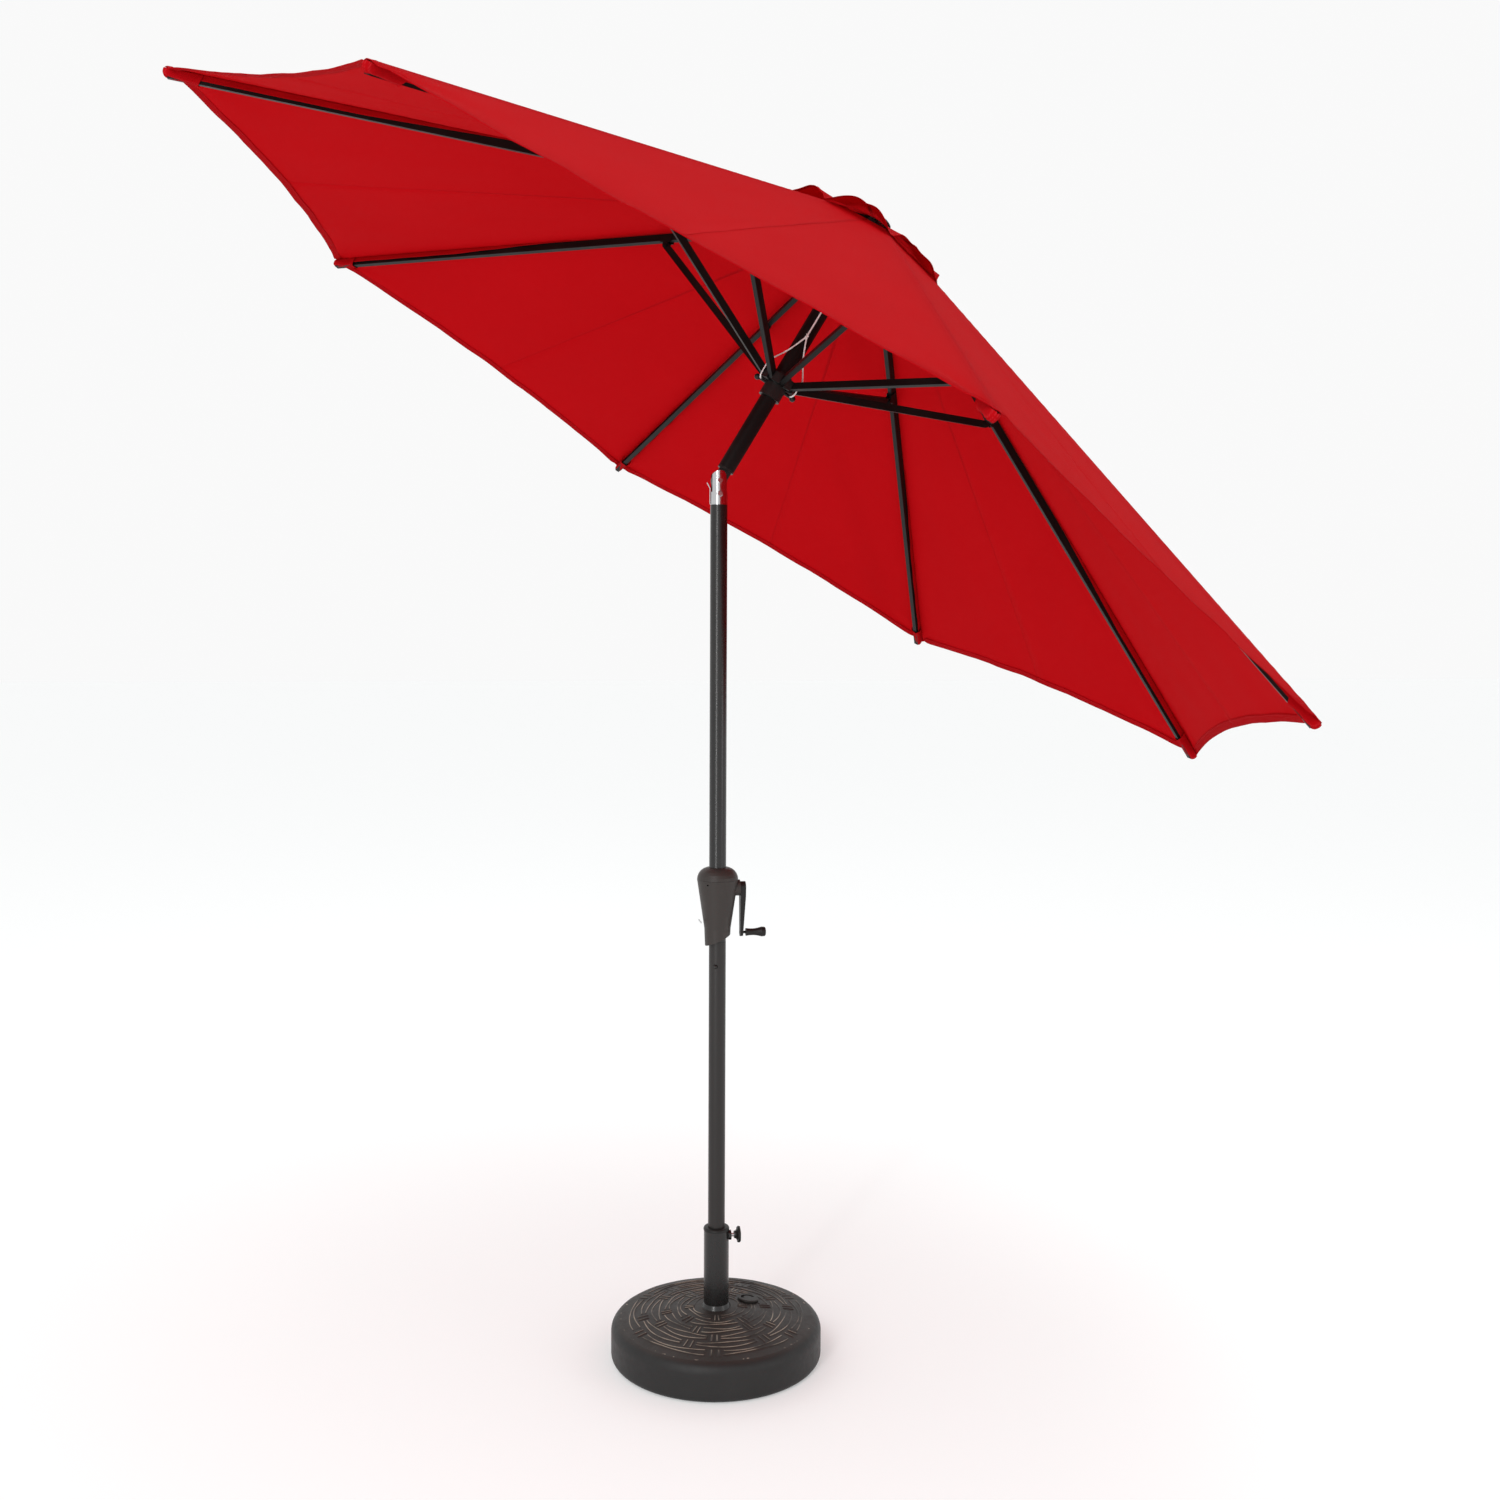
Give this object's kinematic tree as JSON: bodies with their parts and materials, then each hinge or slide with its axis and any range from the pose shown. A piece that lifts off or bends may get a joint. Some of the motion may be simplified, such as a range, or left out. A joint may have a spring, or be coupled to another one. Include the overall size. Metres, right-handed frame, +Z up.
{
  "type": "patio umbrella with base",
  "caption": "Crank-lift patio umbrella with an octagonal vented cloth canopy, push-button tilt joint, two-piece pole and a heavy round base with a clamping knob.",
  "frame": {"origin": "centre of the underside of the base, on the floor under the pole", "axes": "+Z up along the pole; the canopy leans towards +X, and the tilt pin lies along Y"},
  "size_m": [2.3454, 2.7354, 2.7444],
  "materials": {
    "base_resin": "textured black-brown resin",
    "ballast_fill": "water or wet sand",
    "black_steel": "semi-gloss dark bronze powder coat",
    "brown_steel": "satin brown-black powder coat",
    "housing_plastic": "satin moulded nylon",
    "black_plastic": "satin black plastic",
    "zinc_steel": "bright zinc plate",
    "polished_steel": "polished",
    "cord_white": "braided polyester",
    "canopy_red": "woven polyester, slight sheen"
  },
  "bodies": {
    "root": {"base_shell": "base_resin", "base_ballast": "ballast_fill", "base_tube": "black_steel", "pole_sleeve": "black_plastic"},
    "fill_plug": {"fill_plug": "black_plastic"},
    "clamp_screw": {"clamp_screw": "zinc_steel"},
    "clamp_knob": {"clamp_knob": "black_plastic"},
    "pole": {"lower_pole": "brown_steel", "pole_coupler": "black_steel", "middle_pole": "black_steel", "housing_front": "housing_plastic", "housing_rear": "housing_plastic", "housing_cap": "housing_plastic", "housing_screws": "zinc_steel", "lower_cord": "cord_white", "tilt_collar": "polished_steel", "tilt_pin": "polished_steel", "latch_leaf": "polished_steel"},
    "snap_button": {"snap_button": "polished_steel"},
    "crank": {"crank_shaft": "zinc_steel", "cord_spool": "cord_white", "crank_arm": "black_plastic", "grip_pin": "zinc_steel"},
    "crank_grip": {"crank_grip": "black_plastic"},
    "tilt_button": {"tilt_button": "polished_steel"},
    "upper": {"tilt_knuckle": "black_plastic", "upper_pole": "black_steel", "upper_cord": "cord_white", "hub": "black_plastic", "hub_pins": "zinc_steel", "finial": "black_plastic"},
    "pulley": {"pulley": "black_plastic"},
    "runner": {"runner": "black_plastic", "runner_pins": "zinc_steel", "runner_bolts": "zinc_steel", "lift_cord": "cord_white"},
    "rib_1": {"rib_1": "black_steel", "canopy_1": "canopy_red"},
    "rib_2": {"rib_2": "black_steel", "canopy_2": "canopy_red"},
    "rib_3": {"rib_3": "black_steel", "canopy_3": "canopy_red"},
    "rib_4": {"rib_4": "black_steel", "canopy_4": "canopy_red"},
    "rib_5": {"rib_5": "black_steel", "canopy_5": "canopy_red"},
    "rib_6": {"rib_6": "black_steel", "canopy_6": "canopy_red"},
    "rib_7": {"rib_7": "black_steel", "canopy_7": "canopy_red"},
    "rib_8": {"rib_8": "black_steel", "canopy_8": "canopy_red"},
    "strut_1": {"strut_1": "black_steel"},
    "strut_2": {"strut_2": "black_steel"},
    "strut_3": {"strut_3": "black_steel"},
    "strut_4": {"strut_4": "black_steel"},
    "strut_5": {"strut_5": "black_steel"},
    "strut_6": {"strut_6": "black_steel"},
    "strut_7": {"strut_7": "black_steel"},
    "strut_8": {"strut_8": "black_steel"}
  },
  "joints": [
    {"name": "pole_swivel", "type": "hinge", "parent": "root", "child": "pole", "pos_m": [0, 0, 0.3], "axis": [0, 0, 1], "continuous": true},
    {"name": "clamp_screw_slide", "type": "slide", "parent": "root", "child": "clamp_screw", "axis": [1, 0, 0], "range_m": [0, 0.005]},
    {"name": "clamp_knob_turn", "type": "hinge", "parent": "clamp_screw", "child": "clamp_knob", "pos_m": [0.045, 0, 0.273], "axis": [1, 0, 0], "range_deg": [0, 1440]},
    {"name": "fill_plug_lift", "type": "slide", "parent": "root", "child": "fill_plug", "axis": [0.129, 0.0521, 0.9903], "range_m": [0, 0.03]},
    {"name": "snap_button_press", "type": "slide", "parent": "pole", "child": "snap_button", "axis": [0.3584, 0.9336, 0], "range_m": [0, 0.005], "stiffness_N_per_m": 800, "springref_m": -0.004},
    {"name": "crank_turn", "type": "hinge", "parent": "pole", "child": "crank", "pos_m": [0.05, 0, 1.064], "axis": [1, 0, 0], "range_deg": [0, 705.82]},
    {"name": "crank_grip_spin", "type": "hinge", "parent": "crank", "child": "crank_grip", "pos_m": [0.08, 0, 0.963], "axis": [1, 0, 0], "continuous": true},
    {"name": "tilt_button_press", "type": "slide", "parent": "pole", "child": "tilt_button", "axis": [0, 1, 0], "range_m": [0, 0.003], "stiffness_N_per_m": 800, "springref_m": -0.003},
    {"name": "tilt", "type": "hinge", "parent": "pole", "child": "upper", "pos_m": [0, 0, 1.97], "axis": [0, 1, 0], "range_deg": [-31, 0]},
    {"name": "runner_slide", "type": "slide", "parent": "upper", "child": "runner", "axis": [-0.515, 0, -0.8572], "range_m": [0, 0.17], "deforming": ["lift_cord"]},
    {"name": "pulley_turn", "type": "hinge", "parent": "upper", "child": "pulley", "pos_m": [0.32241, -0.0145, 2.50659], "axis": [0.8572, 0, -0.515], "range_deg": [-1119.57, 0]},
    {"name": "rib_1_fold", "type": "hinge", "parent": "upper", "child": "rib_1", "pos_m": [0.36903, 0.00402, 2.52058], "axis": [-0.1045, 0.9925, 0.0628], "range_deg": [0, 11.45], "deforming": ["canopy_1"]},
    {"name": "rib_2_fold", "type": "hinge", "parent": "upper", "child": "rib_2", "pos_m": [0.35837, 0.026, 2.52698], "axis": [-0.6755, 0.6157, 0.4059], "range_deg": [0, 11.45], "deforming": ["canopy_2"]},
    {"name": "rib_3_fold", "type": "hinge", "parent": "upper", "child": "rib_3", "pos_m": [0.33751, 0.03275, 2.53952], "axis": [-0.8508, -0.1219, 0.5112], "range_deg": [0, 11.45], "deforming": ["canopy_3"]},
    {"name": "rib_4_fold", "type": "hinge", "parent": "upper", "child": "rib_4", "pos_m": [0.31866, 0.02032, 2.55084], "axis": [-0.5277, -0.788, 0.3171], "range_deg": [0, 11.45], "deforming": ["canopy_4"]},
    {"name": "rib_5_fold", "type": "hinge", "parent": "upper", "child": "rib_5", "pos_m": [0.31288, -0.00402, 2.55431], "axis": [0.1045, -0.9925, -0.0628], "range_deg": [0, 11.45], "deforming": ["canopy_5"]},
    {"name": "rib_6_fold", "type": "hinge", "parent": "upper", "child": "rib_6", "pos_m": [0.32354, -0.026, 2.54791], "axis": [0.6755, -0.6157, -0.4059], "range_deg": [0, 11.45], "deforming": ["canopy_6"]},
    {"name": "rib_7_fold", "type": "hinge", "parent": "upper", "child": "rib_7", "pos_m": [0.3444, -0.03275, 2.53537], "axis": [0.8508, 0.1219, -0.5112], "range_deg": [0, 11.45], "deforming": ["canopy_7"]},
    {"name": "rib_8_fold", "type": "hinge", "parent": "upper", "child": "rib_8", "pos_m": [0.36324, -0.02032, 2.52405], "axis": [0.5277, 0.788, -0.3171], "range_deg": [0, 11.45], "deforming": ["canopy_8"]},
    {"name": "strut_1_fold", "type": "hinge", "parent": "runner", "child": "strut_1", "pos_m": [0.16044, 0.00402, 2.17342], "axis": [-0.1045, 0.9925, 0.0628], "range_deg": [-12.32, 0]},
    {"name": "strut_2_fold", "type": "hinge", "parent": "runner", "child": "strut_2", "pos_m": [0.14978, 0.026, 2.17983], "axis": [-0.6755, 0.6157, 0.4059], "range_deg": [-12.32, 0]},
    {"name": "strut_3_fold", "type": "hinge", "parent": "runner", "child": "strut_3", "pos_m": [0.12892, 0.03275, 2.19236], "axis": [-0.8508, -0.1219, 0.5112], "range_deg": [-12.32, 0]},
    {"name": "strut_4_fold", "type": "hinge", "parent": "runner", "child": "strut_4", "pos_m": [0.11008, 0.02032, 2.20369], "axis": [-0.5277, -0.788, 0.3171], "range_deg": [-12.32, 0]},
    {"name": "strut_5_fold", "type": "hinge", "parent": "runner", "child": "strut_5", "pos_m": [0.10429, -0.00402, 2.20716], "axis": [0.1045, -0.9925, -0.0628], "range_deg": [-12.32, 0]},
    {"name": "strut_6_fold", "type": "hinge", "parent": "runner", "child": "strut_6", "pos_m": [0.11495, -0.026, 2.20076], "axis": [0.6755, -0.6157, -0.4059], "range_deg": [-12.32, 0]},
    {"name": "strut_7_fold", "type": "hinge", "parent": "runner", "child": "strut_7", "pos_m": [0.13581, -0.03275, 2.18822], "axis": [0.8508, 0.1219, -0.5112], "range_deg": [-12.32, 0]},
    {"name": "strut_8_fold", "type": "hinge", "parent": "runner", "child": "strut_8", "pos_m": [0.15465, -0.02032, 2.1769], "axis": [0.5277, 0.788, -0.3171], "range_deg": [-12.32, 0]}
  ],
  "couplings": [
    {"joint": "clamp_knob_turn", "follows": "clamp_screw_slide", "rad_per_m": 5026.5},
    {"joint": "crank_turn", "follows": "runner_slide", "rad_per_m": 72.464},
    {"joint": "pulley_turn", "follows": "runner_slide", "rad_per_m": -114.94},
    {"joint": "rib_1_fold", "follows": "runner_slide", "rad_per_m": 1.1748},
    {"joint": "rib_2_fold", "follows": "runner_slide", "rad_per_m": 1.1748},
    {"joint": "rib_3_fold", "follows": "runner_slide", "rad_per_m": 1.1748},
    {"joint": "rib_4_fold", "follows": "runner_slide", "rad_per_m": 1.1748},
    {"joint": "rib_5_fold", "follows": "runner_slide", "rad_per_m": 1.1748},
    {"joint": "rib_6_fold", "follows": "runner_slide", "rad_per_m": 1.1748},
    {"joint": "rib_7_fold", "follows": "runner_slide", "rad_per_m": 1.1748},
    {"joint": "rib_8_fold", "follows": "runner_slide", "rad_per_m": 1.1748},
    {"joint": "strut_1_fold", "follows": "runner_slide", "rad_per_m": -1.265},
    {"joint": "strut_2_fold", "follows": "runner_slide", "rad_per_m": -1.265},
    {"joint": "strut_3_fold", "follows": "runner_slide", "rad_per_m": -1.265},
    {"joint": "strut_4_fold", "follows": "runner_slide", "rad_per_m": -1.265},
    {"joint": "strut_5_fold", "follows": "runner_slide", "rad_per_m": -1.265},
    {"joint": "strut_6_fold", "follows": "runner_slide", "rad_per_m": -1.265},
    {"joint": "strut_7_fold", "follows": "runner_slide", "rad_per_m": -1.265},
    {"joint": "strut_8_fold", "follows": "runner_slide", "rad_per_m": -1.265}
  ]
}
